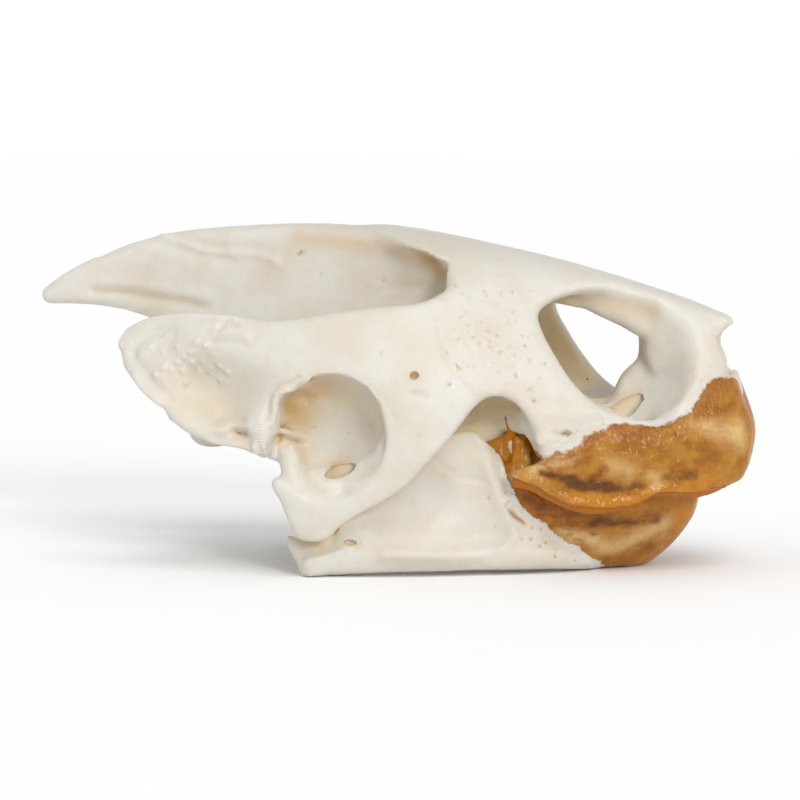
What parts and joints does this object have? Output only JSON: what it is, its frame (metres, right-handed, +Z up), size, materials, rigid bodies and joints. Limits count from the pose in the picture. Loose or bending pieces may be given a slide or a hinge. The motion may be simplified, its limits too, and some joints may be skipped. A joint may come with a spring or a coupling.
{
  "type": "pond turtle skull",
  "caption": "Dry turtle skull with its lower jaw closed, a long crest behind, open eye sockets and horn sheaths on the beak.",
  "frame": {"origin": "on the surface that the skull stands on, under the middle of its length and width", "axes": "+X to the tip of the beak, +Y to the animal's left, +Z up"},
  "size_m": [0.0802, 0.0408, 0.0378],
  "materials": {
    "bone": "dry bleached bone, ivory white with tan hollows, softly glossy",
    "horn": "beak horn, amber with brown mottling, glossy and slightly translucent"
  },
  "bodies": {
    "root": {"cranium": "bone", "mandible": "bone", "upper_beak_sheath": "horn", "lower_beak_sheath": "horn"}
  },
  "joints": []
}
